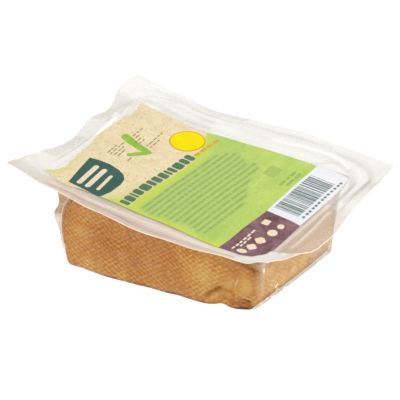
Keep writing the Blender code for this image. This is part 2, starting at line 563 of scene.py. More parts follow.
# patches of the front, as (x, z, flattening, reach, how much darker)
TONE_PATCHES = (
    (-4, 17, 1.6, 22, 0.14), (-44, 27, 1, 6, 0.1), (-23, 17, 1, 9, 0.05), (-33, 3, 1.5, 9, -0.14),
    (-38, 20, 1, 4, -0.08), (-16, 1.5, 1, 6, -0.12), (26, 13.6, 0.9, 8, -0.26), (4, 1, 1, 7, -0.08),
    (45, 11.9, 1.0, 5.0, -0.32), (38.2, 11.8, 1, 2.6, -0.2), (40, 17.8, 1.4, 3.4, 0.12), (48.4, 18, 0.8, 1.5, 0.12),
)
# patches of the right end, as (y, z, reach across, reach up, how much darker)
END_PATCHES = ((-3, 15, 7, 7, 0.12), (-30, 9, 6, 5, 0.25), (21, 6, 4.5, 4.5, 0.3))
SMOKE_AT_FRONT = 0.52


def foot_inset(x, y):
    """How far inside the foot's outline a place is."""
    return min(y - front_face(x, 0), back_line(x) - y, x - LEFT_END[0][1], RIGHT_END[0][1] - x)


def smoke_and_shade_tone(x, y, z):
    """0 is pale ochre, 1 is dark brown: the smoke's tone, with painted shade in the creases, along the top and at the
    foot.
    """
    front, right = face_share(y - front_face(x, z)), face_share(x - 50, 4.0)
    tone = SMOKE_AT_FRONT
    for patch_x, patch_z, flat, reach, more in TONE_PATCHES:
        tone += front * more * bump_at(math.hypot(x - patch_x, (z - patch_z) * flat), reach)
    # painted shade darkens the crease, the wrinkles and the ring's line, and the lip beside the crease is paler
    tone += front * (0.5 * near_path(x, z, FOOT_CREASE[1:5], 0.9) - 0.24 * near_path(x, z, FOOT_LIP, 1.1))
    for path in FOOT_WRINKLES:
        tone += front * 0.38 * near_path(x, z, path, 0.9)
    tone += front * 0.14 * bump_at(ring_gap(x, z), RING_LINE)
    # painted shade: a dark line down the front's right edge, a darker band along its top under the lid, and a dark line
    # where the foot stands
    tone += 0.32 * front * bump_at(x - 48.6, 1.1) * rise(z, 5, 4)
    tone += 0.25 * front * rise(z, block_top(x, y) - 2.5, 2.5)
    standing = fall(foot_inset(x, y), 5, 5) * (1 - rise(x, 45.5, 2) * rise(y, -35, 3))
    tone += 0.75 * bump_at(z, 1.3) * standing
    # the right end is paler
    paler = 0.3 + 0.22 * wander(x, y, z, 6, 5.5)
    for patch_y, patch_z, across, up, more in END_PATCHES:
        paler -= more * bump_at(y - patch_y, across) * bump_at(z - patch_z, up)
    return tone - right * paler


def smooth_tone(x, y, z):
    """1 where wet film pressed the weave flat."""
    flat = near_spot(x, z, (44.5, 12), 5.5) + near_spot(x, z, (38.2, 11.8), 3) + near_path(x, z, FOOT_LIP, 1.8)
    return face_share(y - front_face(x, z)) * min(1.0, flat)


# %% Building the block
def follow_relief(bm, share, floor):
    """Move each point along its normal by a share of the block's relief, and keep it off the floor."""
    bm.normal_update()
    moves = []
    for vertex in bm.verts:
        x, y, z = vertex.co
        lift = Vector((0, 0, foot_lift(x, y) * smooth_step(1 - z / 6)))
        moves.append((vertex, vertex.normal * (block_relief(x, y, z) * share(x, y, z)) + lift))
    for vertex, move in moves:
        vertex.co += move
        vertex.co.z = max(vertex.co.z, floor)


def flat_map(bm, name):
    """A flat map in millimetres: each face is laid out along the two axes that it faces least."""
    layer = bm.loops.layers.uv.new(name)
    for face in bm.faces:
        size = [abs(c) for c in face.normal]
        across = {0: (1, 2), 1: (0, 2), 2: (0, 1)}[size.index(max(size))]
        for loop in face.loops:
            loop[layer].uv = (loop.vert.co[across[0]], loop.vert.co[across[1]])


BLOCK_CUTS = (124, 88, 40)
BLOCK_HALF, BLOCK_ROUND, BLOCK_FOOT_ROUND = (49.0, 35.0, 16.0), 2.6, 1.2

bm = fine_cube(BLOCK_CUTS)
for vertex in bm.verts:
    vertex.co = block_point(*rounded(vertex.co, BLOCK_HALF, BLOCK_ROUND, BLOCK_FOOT_ROUND))
follow_relief(bm, lambda x, y, z: 1.0, SKIN_GAP)
bmesh.ops.recalc_face_normals(bm, faces=bm.faces[:])
flat_map(bm, "cloth")
tofu_block = make_piece("tofu_block", bm, SKIN, paint={"smoke_and_shade": smoke_and_shade_tone, "smooth_patch": smooth_tone})

# %% [markdown]
# ## Clear film
# Thin film shows in three ways: it lets most light straight through, it mirrors the room more the more slantwise it
# is seen, and where it is stretched, creased or doubled it turns milky. So the finish mixes a clear shader with a pale
# glossy one. How much of the second comes from a painted haze, fine streaks, and the angle of view.

# %% Clear film
# the milky part's tones from dim to bright carry painted light and shade
GREY_DIM, GREY_BRIGHT = (204, 203, 193), (252, 252, 246)
PEACH = ((210, 180, 158), (252, 238, 224))


def clear_film(name, roughness, streaks=0.1, glint=0.3, painted_glow=0.0, warm=PEACH):
    """Painted on the mesh: haze is how milky, tone is painted light dim to bright, warmth grey to warm, end_share turns
    the streaks.
    """
    material, tree, place = new_material(name)
    lengthwise = clouds(place, 1.5, detail=3, stretch=(0.04, 1, 1))
    crosswise = clouds(place, 1.5, detail=3, stretch=(1, 0.05, 1))
    flow = mix_colour(painted(tree, "end_share"), lengthwise, crosswise)
    streak = minus(flow, 0.5)
    haze = add(painted(tree, "haze"), times(streak, streaks * 3))
    haze = add(haze, swing(clouds(place, 7, detail=2), streaks))
    glance = node(tree, "LayerWeight", {"Blend": 0.12}).outputs["Fresnel"]
    amount = add(haze, times(glance, glint), clamp=True)
    contrast = levels(painted(tree, "end_share"), 0, 1, 1.0, 0.3)
    tone = add(painted(tree, "tone"), times(streak, contrast), clamp=True)
    bump = node(tree, "Bump", {"Height": flow, "Strength": 0.1, "Distance": 0.0003})
    grey = mix_colour(tone, colour(*GREY_DIM), colour(*GREY_BRIGHT))
    base = mix_colour(painted(tree, "warmth"), grey, mix_colour(tone, colour(*warm[0]), colour(*warm[1])))
    # the emission is a painted glow in the milky film's own colour
    milky = node(
        tree,
        "BsdfPrincipled",
        {
            "Base Color": base,
            "Roughness": roughness,
            "IOR": 1.5,
            "Normal": bump.outputs[0],
            "Emission Color": base,
            "Emission Strength": painted_glow,
        },
    )
    node(tree, "OutputMaterial", {"Surface": over_clear(amount, milky.outputs[0])})
    return material


LID_FILM = clear_film("lid_film_clear", 0.3, streaks=0.045)
POCKET_FILM = clear_film("pocket_film_clear", 0.16, streaks=0.03, glint=0.08, warm=((184, 132, 70), (246, 222, 190)))
# the film's cut edge has a painted glow
GLOWING_FILM_EDGE = clear_film("film_cut_edge_glow", 0.25, painted_glow=0.25, warm=((220, 184, 140), (248, 224, 190)))
print("film finishes:", LID_FILM.name, POCKET_FILM.name, GLOWING_FILM_EDGE.name)

# %% [markdown]
# ## The pocket
# The pocket was drawn down from flat film into a mould and then sucked onto the block. It lies on the block's front,
# stands off it in a fold at the left end, and bridges the block's corners. It is made from the same kind of grid as
# the block, with its own profiles, and its top is cut off. Solidify gives it the film's thickness.

# %% The pocket's profiles
FILM_LEFT = (
    (0, -44.8), (2.4, -46.5), (7.3, -48.1), (12, -49.7), (15, -50.5), (17.4, -51.5),
    (20.2, -52.7), (22.5, -53.2), (24.6, -52.2), (26.8, -51.0), (29.4, -50.7), (31, -51.2), (45, -54.0),
)
FILM_RIGHT = ((0, 48.5), (2.5, 50.0), (5, 50.4), (12, 50.7), (20, 51.15), (26, 51.3), (31, 52.2), (38, 55.8))
END_SWELL = 0.6
FILM_GAP, FILM_FOOT = 0.25, 0.12


def pocket_point(u, v, w):
    """A point of the pocket from its place in a cube of side 2."""
    along, across, up = (u + 1) / 2, (v + 1) / 2, (w + 1) / 2
    x = blend(-49, 51, along)
    z = up * lid_plane(x, blend(front_face(x, 0), back_line(x), across))
    left = blend(profile(FILM_LEFT, z), profile(LEFT_END, z) - 1.0, 0.5 * across)
    left += 0.7 * across * wander(0, across * 60, z, 7, 2.0)
    right = profile(FILM_RIGHT, z) + END_SWELL * (1 - v * v) + 0.12 * wander(0, across * 60, z, 8, 5.0)
    x = blend(left, right, along)
    flare = rise(up, 0.86, 0.14)
    front = front_face(x, z) - FILM_GAP - 2.4 * flare
    back = back_line(x) + FILM_GAP + (6.3 + 5 * flare) * up + 1.2 * (1 - w * w) * (1 - u * u)
    y = blend(front, back, across)
    z = FILM_FOOT + up * (lid_height(x, y) + sheet_relief(x, y) - 0.03 - FILM_FOOT)
    return Vector((x, y, z))


# %% Where the pocket's film is milky
FOLD_STEPS = ((12, 5, 0.1), (18, 3, 0.14), (23, 3, 0.38))  # height, over how far, how much milkier
STRETCHED_AT, STRETCHED_WIDTH = -32.8, 1.5


def in_fold(x, y, z):
    """How much a place lies in the fold at the front left corner, and how close there to the block's own edge."""
    front = fall(y, -36.5, 2.5)
    gap = profile(LEFT_END, z) - x
    beside = rise(gap, -2.0, 0.9)
    above = rise(z, block_top(x, y) - 1.1, 1.2) * fall(x, -42.8, 2)
    return front * max(beside, above), front * bump_at(gap + 1.2, 0.9) * rise(z, 6, 5)


def on_right_end(x):
    """0 along the block's sides and 1 on its right end."""
    return rise(x, 47.5, 3)


def pocket_haze(x, y, z):
    """How milky the pocket is: hardly at all on the block, and strongly along folds and stretched corners."""
    right, back = on_right_end(x), rise(y, 28, 4)
    haze = 0.01 + 0.015 * wander(x, y, z, 9, 6.0)
    # stretched corners
    strip = bump_at(y - STRETCHED_AT, STRETCHED_WIDTH) * rise(z, 4, 12)
    haze += 0.32 * right * strip * (1 + 0.4 * wander(x, y, z, 5, 8.0))
    haze += (0.2 + 0.3 * rise(x, 0, 20)) * back * bump_at(min(x + 46, 48 - x), 2.2) * rise(z, 3, 10)
    # the right end, hazier towards the back, and along its foot small crinkles with milky specks painted as sparkling
    # highlights
    haze += right * (0.02 + 0.17 * rise(y, 2, 16) + 0.3 * rise(y, 27, 4))
    haze += 0.45 * rise(x, 46.5, 1.5) * fall(z, 4.5, 2.5) * rise(y, -37, 6)
    crinkled = rise(x, 46, 3) * fall(z, 7, 3) * rise(y, -34, 4) * fall(y, -8, 6)
    haze += 0.75 * crinkled * rise(wander(x, y, z, 1.7, 3.3), 0.24, 0.2)
    # the fold at the left end
    fold, edge = in_fold(x, y, z)
    milky = 0.1 + sum(more * rise(z, height, over) for height, over, more in FOLD_STEPS)
    haze += max(fold * milky * (1 + 0.3 * wander(0, y, 0, 4, 3.0)), 0.5 * edge)
    haze += 0.05 * fall(x, profile(LEFT_END, z) - 0.6, 0.9) + 0.14 * rise(z, block_top(x, y), 3)
    return max(haze, 0.01)


def pocket_painted_shade(x, y, z):
    """Painted shade: dim beside the block in the fold at the left end, at the right end towards the back and along its
    foot.
    """
    fold, edge = in_fold(x, y, z)
    dim = max(0.45 * edge, 0.65 * fold * rise(z, 20, 6))
    dim += on_right_end(x) * (0.12 * bump_at(y - STRETCHED_AT, 3.0) + 0.3 * rise(y, -10, 10) + 0.25 * rise(y, 24, 6))
    dim += 0.4 * rise(x, 46, 3) * fall(z, 5, 3) * rise(y, -36, 6)
    return max(0.95 - dim, 0.1)


def pocket_warmth(x, y, z):
    """Warm where the film lies close to the block, in the fold's edge and on the right half: the block's colour seen
    through the haze is painted in.
    """
    fold, edge = in_fold(x, y, z)
    cooler = 1 - 0.4 * on_right_end(x) * rise(y, -10, 14)
    warm = 0.2 + 0.8 * max(min(1.0, 2.5 * edge), fold * rise(z, 20, 6)) + 0.6 * rise(x, 0, 20) * cooler
    return min(1.0, warm)


# %% Building the pocket
POCKET_CUTS = (110, 80, 36)
POCKET_HALF, POCKET_ROUND, POCKET_FOOT_ROUND = (50.0, 36.0, 17.0), 2.8, 1.3
POCKET_FLOOR, POCKET_THICKNESS = 0.08, 0.12


def give_thickness(piece, thickness):
    """Thicken a film evenly to both sides, to this many millimetres in all."""
    wall = piece.modifiers.new("film_thickness", "SOLIDIFY")
    wall.thickness, wall.offset = thickness * MM, 0.0
    return wall


bm = fine_cube(POCKET_CUTS)
lid_faces = [face for face in bm.faces if face.calc_center_median().z > 0.999]
bmesh.ops.delete(bm, geom=lid_faces, context="FACES")
for vertex in bm.verts:
    vertex.co = pocket_point(*rounded(vertex.co, POCKET_HALF, POCKET_ROUND, POCKET_FOOT_ROUND))
# sucked onto the block, the film follows its lumps and creases up to a little below the block's top
follow_relief(bm, lambda x, y, z: fall(z, block_top(x, y), 5), POCKET_FLOOR)
pocket_wrap = make_piece(
    "pocket_wrap", bm, POCKET_FILM,
    paint={"haze": pocket_haze, "tone": pocket_painted_shade, "warmth": pocket_warmth, "end_share": 0.0},
)
give_thickness(pocket_wrap, POCKET_THICKNESS)


# %% Creases in the pocket's film, painted bright as highlights
def stroke(bm, path, widths, steps=24, across=4):
    """A narrow grid drawn along a line, as wide at each place as its stations say. Its z is 1 along its middle."""
    made = bmesh.ops.create_grid(bm, x_segments=steps, y_segments=across, size=1)["verts"]
    xs, ys = ([(i / (len(path) - 1), point[axis]) for i, point in enumerate(path)] for axis in (0, 1))
    for vertex in made:
        share, side = (vertex.co.x + 1) / 2, vertex.co.y
        run_x = profile(xs, share + 0.01) - profile(xs, share - 0.01)
        run_y = profile(ys, share + 0.01) - profile(ys, share - 0.01)
        length = math.hypot(run_x, run_y) or 1.0
        half = profile(widths, share) / 2 * side
        x, y = profile(xs, share), profile(ys, share)
        vertex.co = (x - run_y / length * half, y + run_x / length * half, 1 - abs(side))
    return made


def ridges(name, lines, tip, steps, place, material, haze, warmth):
    """Raised creases, painted bright as highlights: each line is drawn flat, and place puts its points on the film."""
    bm = bmesh.new()
    for path, width in lines:
        for vertex in stroke(bm, path, ((0, 0.1), (0.5, width), (1, tip)), steps, 2):
            vertex.co = place(*vertex.co)
    return make_piece(name, bm, material, paint={"haze": haze, "tone": 1.0, "warmth": warmth, "end_share": 0.0})


def on_end(y, z, ridge):
    """A place on the film over the right end."""
    return profile(FILM_RIGHT, z) + END_SWELL * (1 - ((y + 4) / 33) ** 2) + 0.1 + 0.25 * ridge, y, z


def on_front(x, z, ridge):
    """A place on the film over the front, following the block's creases."""
    return x, front_face(x, z) - FILM_GAP - 0.12 - 0.25 * ridge - block_relief(x, front_face(x, z), z), z


# (y, z) along the glints where the film is crinkled on the right end, and their widths; they are painted highlights
END_GLINTS = (
    (((-22.2, 6.2), (-21.0, 6.8), (-19.8, 7.2)), 0.8), (((-28.9, 3.0), (-28.2, 3.6), (-27.4, 3.7)), 0.6),
    (((-24.6, 2.4), (-22.0, 2.7)), 0.35), (((-15.0, 2.6), (-12.6, 2.9)), 0.35), (((-33.6, 3.2), (-31.0, 2.8)), 0.4),
    (((-32.5, 20.2), (-32.4, 19.2), (-32.5, 18.0)), 0.8),
)
# (x, z) along each crease of the front, and its width; each is painted bright as a highlight
FRONT_CREASES = (
    (((42.3, 15.4), (41.8, 13.6), (41.2, 11.8)), 0.5), (((39.9, 14.9), (40.0, 14.1)), 0.3),
    (((44.0, 6.7), (45.6, 6.7), (47.2, 6.2), (47.9, 5.4)), 0.42),
)
# the glints' finish has a painted glow
GLINTING_FILM = clear_film("glinting_film", 0.12, streaks=0.02, painted_glow=0.5)
CREASE_HIGHLIGHT_FILM = clear_film("crease_highlight_film", 0.1, streaks=0.02)
end_glints = ridges("end_glints", END_GLINTS, 0.12, 10, on_end, GLINTING_FILM, 0.8, 0.5)
pocket_crease_highlights = ridges("pocket_crease_highlights", FRONT_CREASES, 0.15, 12, on_front, CREASE_HIGHLIGHT_FILM, 0.62, 1.0)

# %% [markdown]
# ## Where the label lies
# The lid's print covers most of the pocket's mouth, a little askew. Its outline is written down here, because the
# film round it is hazier than the film it covers.

# %% The label's outline
# (x, y) along the front and the back
LABEL_FRONT = (
    (-63.5, -39.2), (-60, -37.2), (-46, -38.0), (-42, -37.0), (-35, -36.6), (-25, -36.9), (-15, -37.6), (-7, -38.1),
    (3, -38.2), (13, -38.9), (21, -40.2), (29, -40.7), (37, -41.4), (41.5, -42.0), (44.5, -40.8), (48.7, -38.6),
    (50.6, -34.5), (53.2, -31.5), (54, -29.0),
)
LABEL_BACK = (
    (-56, 36.6), (-48.7, 35.6), (-41, 35.0), (-29.4, 33.4), (-18.8, 32.6), (-9, 34.0), (0, 34.8), (13.7, 36.0),
    (25.2, 36.8), (36.5, 36.8), (44, 37.0), (54, 36.6),
)
# (y, x) along the sides, and along the borders between the fields of colour
LABEL_LEFT = (
    (-40, -63.0), (-36.8, -60.6), (-31.6, -58.6), (-25.7, -56.6), (-20.7, -57.4), (-12, -58.2), (4.6, -58.8),
    (16, -57.6), (28.5, -55.6), (36.5, -56.0),
)
TORN_LINE = (
    (-40, -22.5), (-35.2, -20.4), (-33.6, -17.2), (-29.5, -14.9), (-22.7, -13.9), (-15.4, -13.3), (-7, -12.5),
    (2, -11.2), (9.8, -10.8), (13.5, -11.6), (17, -12.4), (22, -13.4), (27, -15.4), (33, -17.6),
)
GREEN_RIGHT = ((-42, 34.0), (-38, 33.6), (-23, 34.4), (-5, 36.2), (15, 36.6), (37, 37.6))
LABEL_RIGHT = ((-42, 51.0), (-34, 52.6), (-29, 54.0), (-7, 54.0), (10, 55.0), (22, 55.6), (36, 54.6))
# the border of cream and green is a torn edge: the smooth line with a small jitter every half millimetre
CREAM_TO_GREEN = tuple(
    (y / 2, profile(TORN_LINE, y / 2) + 0.7 * wander(0, y / 2, 0, 2.4, 1.0)) for y in range(-80, 68)
)
print("stations along the torn edge:", len(CREAM_TO_GREEN))

# %% [markdown]
# ## The lid and flange
# Lid film and base film are welded into one sheet outside the pocket's mouth. The sheet is a grid with its corners
# rounded, laid on the surface that was written above. Its cut edge has a finish of its own, with a painted glow.

# %% Where the flange is milky
# lines in the film, as (path, width, added haze, added tone): pressed contours and streaks get painted shade,
# glints and light bands are painted highlights
FILM_LINES = (
    (
        ((30, 36.5), (35.2, 37.5), (40.7, 41.6), (45.2, 43.2), (50.7, 41.0), (55, 37), (58.5, 30.8), (60, 21.6),
         (59, 15.4)), 1.0, 0.1, -0.2,
    ),
    (
        ((43, 47.5), (49.1, 47.2), (54.2, 46.6), (60.5, 43.7), (63.8, 39), (63.9, 33), (62.6, 25.2), (62.2, 18.4)),
        1.0, 0.1, -0.22,
    ),
    (((10, 44.0), (19.3, 44.2), (29.2, 45.6), (38.9, 45.6), (45.1, 45.4), (50.6, 42.6)), 0.6, -0.07, 0.5),
    (((-62.5, 25.1), (-59.9, 19.6), (-58.9, 12.3), (-59.3, 5.2)), 0.8, -0.25, 0.4),
    (
        ((-64.1, 30), (-59.9, 34.1), (-55.5, 39.6), (-48, 40.2), (-38.8, 37.9), (-31.2, 37.0), (-20, 36.4)),
        1.5, 0.08, -0.22,
    ),
    (((-45, 47.6), (-20, 47.2), (8, 48.6), (38, 49.6)), 0.6, 0.08, -0.15),
    (((59.6, -24.0), (59.8, -15.4), (59.8, -7.3), (59.8, -0.3), (60.1, 8.0)), 0.8, 0.22, 0.8),
    (((54.9, -29.0), (55.0, -19.1), (55.6, -6.9), (56.4, 4.4), (57.0, 13.0)), 0.9, 0.24, 0.7),
    (((-50, -46.4), (-20, -47.6), (4, -49.2), (30, -49.6), (52, -48.4)), 1.2, 0.04, -0.5),
    (((-50, -42.8), (-25, -43.0), (3, -43.2), (30, -44.6)), 1.2, 0.0, 0.35),
)
BORDER_WIDTH = 0.5


def end_share(x, y, z):
    """0 along the front and back of the flange, 1 along its ends, and a soft change between them at the corners."""
    return smooth_step(0.5 + ((HALF_WIDTH - abs(y)) - (HALF_LENGTH - abs(x))) / 8)


def off_border(x, y):
    """0 at the flange's nearest edge and 1 past its thin border, on the sheet before its corner is tucked."""
    return smooth_step(min(HALF_LENGTH - abs(x), HALF_WIDTH - abs(y)) / BORDER_WIDTH)


def corner_share(x, y):
    """1 in the curled front right corner beyond its fold, 0 elsewhere."""
    if x < 46 or y > -12:
        return 0.0
    gap, side = distance_to_path(x, y, CORNER_FOLD)
    return fall(y, profile(LABEL_FRONT, x) - 0.5, 1.5) * smooth_step(0.5 - side * gap / 1.6)


def near_right(x, y):
    """1 on the flange's right side, except towards its back."""
    return rise(x, 50, 6) * fall(y, 18, 12)


def flange_haze(x, y, z):
    """How milky the flange is: most at the front, along the rims and in the curled corner."""
    x, y = untucked(x, y)
    inner, outer = rim_distance(x, y, INNER_RIM), rim_distance(x, y, OUTER_RIM)
    front, back, right = fall(y, -34, 8), rise(y, 33, 6), rise(x, 52, 3)
    haze = 0.46 + front * (0.28 + 0.08 * rise(x, 10, 25)) - 0.14 * back - 0.11 * right * (1 - front) * (1 - back)
    haze += 0.08 * bump_at(inner + 1.4, 1.0) + 0.07 * bump_at(outer - 0.4, 0.9)
    haze += 0.05 * wander(x, y, 0, 12, 9.0)
    for path, width, more, _ in FILM_LINES:
        haze += more * near_path(x, y, path, width)
    haze = blend(haze, 0.8, corner_share(x, y))
    # a milky border along the cut edge, for its painted bright edge
    return blend(0.45 + 0.5 * max(front, right * fall(y, 20, 20)), haze, off_border(x, y))


def flange_painted_light(x, y, z):
    """Painted light: bright at the front and in the curled corner, painted shade on the right side and along pressed
    lines.
    """
    x, y = untucked(x, y)
    tone = 0.5 + fall(y, -36, 6) * (0.14 + 0.08 * rise(x, 10, 25)) + 0.08 * fall(x, -54, 4)
    tone -= 0.26 * near_right(x, y) + 0.2 * rise(x, 56, 10) * rise(y, 22, 14)
    tone += 0.12 * wander(x, y, 0, 16, 2.5)
    for path, width, _, more in FILM_LINES:
        tone += more * near_path(x, y, path, width)
    tone = blend(tone, 0.95, corner_share(x, y))
    # the border at the cut edge is painted bright, as a highlight along it
    return min(max(blend(0.8, tone, off_border(x, y)), 0.0), 1.0)


def flange_warmth(x, y, z):
    """The front and the right side pick up the colour of the block behind them."""
    front, right = fall(y, -36, 4), near_right(x, y)
    warm = 0.14 + 0.8 * max(front * rise(x, -62, 14) * (1 - 0.35 * rise(x, 10, 25)), 0.8 * right)
    flat_x, flat_y = untucked(x, y)
    warm = blend(warm, 0.2, corner_share(flat_x, flat_y))
    return blend(0.8 * max(front, right), warm, off_border(flat_x, flat_y))


# %% Building the lid and flange
LID_CUTS = (184, 140)
CUT_CORNER, FLANGE_LIFT, FLANGE_THICKNESS = 0.7, 0.15, 0.35

bm = bmesh.new()
bmesh.ops.create_grid(bm, x_segments=LID_CUTS[0], y_segments=LID_CUTS[1], size=1)
bmesh.ops.scale(bm, vec=(HALF_LENGTH, HALF_WIDTH, 1), verts=bm.verts[:])
corners = [vertex for vertex in bm.verts if len(vertex.link_edges) == 2]
bmesh.ops.bevel(
    bm, geom=corners, offset=CUT_CORNER, affect="VERTICES", segments=3, profile=0.5, material=-1,
)
lay_on_sheet(bm, FLANGE_LIFT)
for edge in bm.edges:
    edge.smooth = not edge.is_boundary
flange_film = make_piece(
    "flange_film", bm, LID_FILM, GLOWING_FILM_EDGE,
    paint={"haze": flange_haze, "tone": flange_painted_light, "warmth": flange_warmth, "end_share": end_share},
)
give_thickness(flange_film, FLANGE_THICKNESS).material_offset_rim = 1

# %% [markdown]
# ## Printed colours
# The label is printed on the lid in flat inks: a cream paper look with flecks, a fresh green, a deep plum and white.
# The ink is never quite even, and the film over it gives a soft shine. One recipe takes two tones of an ink and the
# size of its unevenness.

# %% Printed colours
def ink(name, light, dark, size, stretch=(1, 1, 1), gloss=0.35, fleck=None, wash=None, cover=1.0):
    """An ink between two tones. A fleck colour adds specks, a wash colour is painted in, and cover lets film show.

    With a cover of None, the cover is painted on the mesh and its border is ragged."""
    material, tree, place = new_material(name)
    blotch = levels(clouds(place, size, detail=4, roughness=0.6, stretch=stretch), 0.3, 0.7)
    tone = mix_colour(blotch, colour(*light), colour(*dark))
    if fleck:
        specks = levels(clouds(place, 1.2, detail=3), 0.54, 0.7)
        tone = mix_colour(times(specks, 0.7), tone, colour(*fleck))
    if wash:
        spread = add(painted(tree, "wash"), swing(clouds(place, 3, detail=3), 0.7), clamp=True)
        spread = times(spread, painted(tree, "wash"), clamp=True)
        tone = mix_colour(spread, tone, colour(*wash))
    finish = {"Base Color": tone, "Roughness": 0.4, "IOR": 1.45, "Specular IOR Level": gloss}
    finish |= {"Coat Weight": gloss / 2, "Coat Roughness": 0.12}
    shader = node(tree, "BsdfPrincipled", finish).outputs[0]
    if cover is None:
        ragged = add(painted(tree, "cover"), swing(clouds(place, 1.6, detail=3), 0.9))
        shader = over_clear(levels(ragged, 0.35, 0.6), shader)
    elif cover < 1:
        shader = over_clear(cover, shader)
    node(tree, "OutputMaterial", {"Surface": shader})
    return material


CREAM = ink(
    "cream_ink", (246, 232, 194), (238, 214, 172), 4, fleck=(206, 190, 112), wash=(206, 216, 96), cover=None,
)
GREEN = ink(
    "green_ink", (200, 220, 112), (174, 206, 98), 8,
    stretch=(1, 0.35, 1), fleck=(160, 196, 96), wash=(206, 222, 62),
)
PLUM = ink("plum_ink", (104, 58, 66), (152, 116, 122), 6, fleck=(92, 44, 52))
WHITE = ink("white_ink", (244, 244, 250), (236, 237, 243), 8)
BADGE_GREEN = ink("badge_green_ink", (36, 88, 70), (54, 98, 92), 5)
TITLE_GREEN = ink("title_green_ink", (66, 112, 78), (96, 132, 92), 2)
LEAF_GREEN = ink("leaf_green_ink", (164, 203, 58), (130, 184, 64), 5)
TEXT_GREEN = ink("text_green_ink", (140, 174, 84), (168, 194, 106), 1.6)
TEXT_GROUND = ink("text_ground_ink", (186, 211, 114), (172, 201, 106), 3)
FAINT_GREEN = ink("faint_green_ink", (196, 222, 120), (188, 214, 110), 2, cover=0.55)
TEXT_BROWN = ink("text_brown_ink", (140, 122, 84), (176, 154, 112), 1.5, cover=0.8)
EDGE_SHADE_INK = ink("edge_shade_ink", (150, 138, 104), (176, 160, 122), 3, cover=0.75)
YELLOW = ink("yellow_ink", (255, 234, 0), (250, 222, 4), 5, gloss=0.04)
OCHRE = ink("ochre_ink", (226, 184, 40), (214, 170, 40), 3)
PALE = ink("pale_ink", (247, 230, 200), (240, 218, 186), 2)
BAR_DARK = ink("bar_ink", (92, 116, 106), (126, 146, 134), 2)
print("inks:", len([material for material in bpy.data.materials if material.name.endswith("_ink")]))

# %% [markdown]
# ## Fields of the label
# Each field has four wavy sides. A grid is laid between them: every point is placed part of the way from the left
# side to the right one and from the front side to the back one, and then dropped onto the lid's surface. Inks that are
# printed later lie a little higher, so that no two share a plane.

# %% A field between four wavy sides
PRINT_LIFT = 0.42
LOW_INK, BAR_INK, TEXT_INK, TOP_INK = (PRINT_LIFT + more for more in (0.04, 0.05, 0.07, 0.09))


def field(name, material, left, right, front, back, cuts, paint=None):
    """left and right are (y, x) stations, front and back are (x, y) stations."""
    bm = bmesh.new()
    bmesh.ops.create_grid(bm, x_segments=cuts[0], y_segments=cuts[1], size=1)
    for vertex in bm.verts:
        u, v = (vertex.co.x + 1) / 2, (vertex.co.y + 1) / 2
        y = blend(-38, 34, v)
        x = blend(profile(left, y), profile(right, y), u)
        y = blend(profile(front, x), profile(back, x), v)
        x = blend(profile(left, y), profile(right, y), u)
        vertex.co = (x, y, 0)
    lay_on_sheet(bm, PRINT_LIFT)
    return make_piece(name, bm, material, paint=paint)


def cream_cover(x, y, z):
    """The cream fades out over the label's left edge, wider at the front."""
    to_left = x - profile(LABEL_LEFT, y)
    return 0.15 + 0.85 * rise(to_left, 0, 2.6) if y < 0 else 0.45 + 0.55 * rise(to_left, 0, 1.2)


def cream_wash(x, y, z):
    """Lime along the left edge and the torn edge, more of it towards the front."""
    to_left, to_green = x - profile(LABEL_LEFT, y), profile(CREAM_TO_GREEN, y) - x
    near_front = fall(y, 10, 40)
    wash = 0.65 * bump_at(to_left, 3.4) * near_front + 0.25 * near_front
    return min(1.0, wash + bump_at(to_green, 5.0 + 2.5 * near_front) * (0.3 + 0.7 * near_front))


def green_wash(x, y, z):
    """Lime along the torn edge and the label's front edge."""
    to_cream, to_front = x - profile(CREAM_TO_GREEN, y), y - profile(LABEL_FRONT, x)
    return min(1.0, 0.9 * bump_at(to_cream, 4.5) + 0.8 * bump_at(to_front, 4.5) + 0.3 * rise(x, 26, 6))


PLUM_BACK = ((33, -4.6), (36, -4.9), (46, -5.6), (54, -6.6))
BOX_BACK = ((35, 34.6), (38, 36.4), (44, 37.4), (50, 37.4), (53.4, 36.8), (55, 35.0))
cream_field = field(
    "cream_field", CREAM, LABEL_LEFT, CREAM_TO_GREEN, LABEL_FRONT, LABEL_BACK, (58, 96),
    paint={"cover": cream_cover, "wash": cream_wash},
)
green_field = field(
    "green_field", GREEN, CREAM_TO_GREEN, GREEN_RIGHT, LABEL_FRONT, LABEL_BACK, (64, 96), paint={"wash": green_wash},
)
plum_field = field("plum_field", PLUM, GREEN_RIGHT, LABEL_RIGHT, LABEL_FRONT, PLUM_BACK, (28, 44))
barcode_box = field("barcode_box", WHITE, GREEN_RIGHT, LABEL_RIGHT, PLUM_BACK, BOX_BACK, (28, 50))

# %% The painted shade line along the label's front edge
# a thin brown strip just under the print's front edge, painted as the shade along that edge
EDGE_PATH = [(x, y - 0.15) for x, y in LABEL_FRONT[3:14]]
EDGE_WIDTH = 0.5

bm = bmesh.new()
bmesh.ops.create_grid(bm, x_segments=150, y_segments=1, size=1)
for vertex in bm.verts:
    x = blend(EDGE_PATH[0][0], EDGE_PATH[-1][0], (vertex.co.x + 1) / 2)
    vertex.co = (x, profile(EDGE_PATH, x) + vertex.co.y * EDGE_WIDTH / 2, 0)
lay_on_sheet(bm, PRINT_LIFT - 0.02)
label_edge_shade = make_piece("label_edge_shade", bm, EDGE_SHADE_INK)

# %% [markdown]
# ## Shapes on the label
# A badge, a disc and a tick give the label its scale. Each convex shape is a small grid cut along its outline with
# bisect_plane, so it has points enough to follow the lid. Long strokes are grids drawn along a line.

